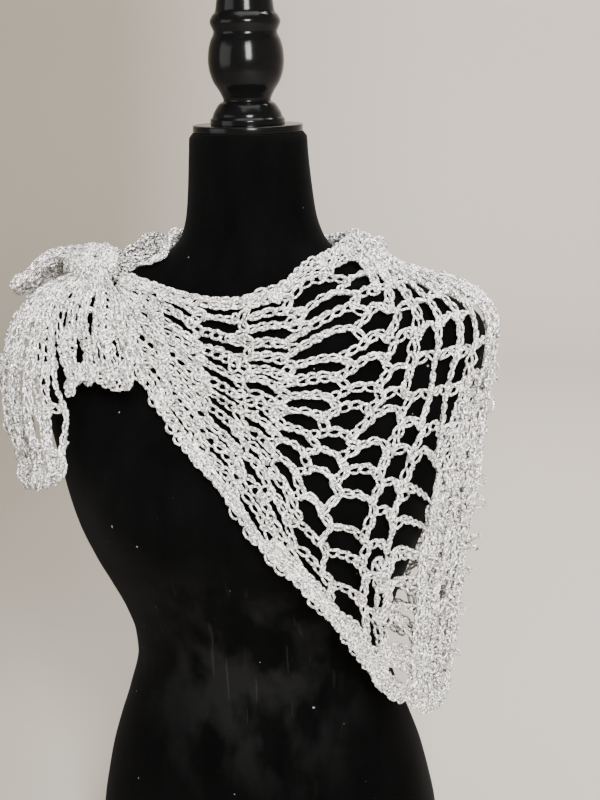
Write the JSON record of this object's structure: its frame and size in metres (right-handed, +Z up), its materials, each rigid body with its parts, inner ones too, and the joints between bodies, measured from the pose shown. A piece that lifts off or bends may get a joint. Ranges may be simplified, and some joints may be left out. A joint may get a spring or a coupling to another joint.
{
  "type": "triangle scarf on a dress form",
  "caption": "Open mesh triangle scarf of silvery yarn, worn over one shoulder and tied on the other of a limbless black dress form.",
  "frame": {"origin": "middle of the flat underside of the base plate, on the form's upright axis", "axes": "+Z up along the form, -Y the way the form faces, +X the form's left arm cap"},
  "size_m": [0.4172, 0.28, 0.8234],
  "materials": {
    "yarn": "silvery white yarn with a glittering thread",
    "velvet": "black velvet with a short nap",
    "gloss_black": "gloss black paint on turned wood",
    "plate": "satin black paint"
  },
  "bodies": {
    "root": {"base_plate": "plate", "torso": "velvet", "neck_cap": "gloss_black", "finial": "gloss_black", "drape_front": "yarn", "drape_back": "yarn", "knot": "yarn", "tail_front": "yarn", "tail_side": "yarn", "tail_back": "yarn"}
  },
  "joints": []
}
